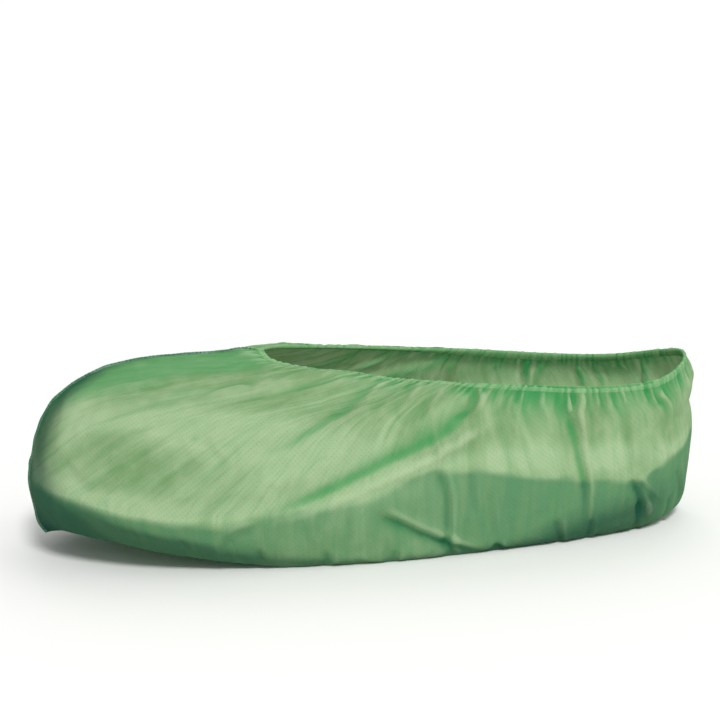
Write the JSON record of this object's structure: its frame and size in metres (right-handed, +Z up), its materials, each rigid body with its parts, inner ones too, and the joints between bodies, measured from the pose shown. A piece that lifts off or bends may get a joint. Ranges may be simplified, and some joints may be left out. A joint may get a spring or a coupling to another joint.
{
  "type": "shoe cover",
  "caption": "Disposable non-woven shoe cover, open at the top, with an elastic gathered rim and welded toe and heel seams, shaped as worn.",
  "frame": {"origin": "middle of the cover's box, on the floor that its sole rests on", "axes": "+X from the toe to the heel, +Y to the big-toe side, +Z up"},
  "size_m": [0.3102, 0.105, 0.0861],
  "materials": {
    "nonwoven": "thin spunbond polypropylene, matt with a faint bonded dot pattern, green",
    "hem_nonwoven": "doubled spunbond polypropylene, matt, green",
    "elastic": "covered elastic thread, matt, white",
    "welded_seam": "two layers of spunbond polypropylene pressed together, slightly glossy, darker green"
  },
  "bodies": {
    "root": {"cover_bag": "nonwoven", "rim_hem": "hem_nonwoven", "rim_elastic": "elastic", "toe_seam": "welded_seam", "heel_seam": "welded_seam"}
  },
  "joints": []
}
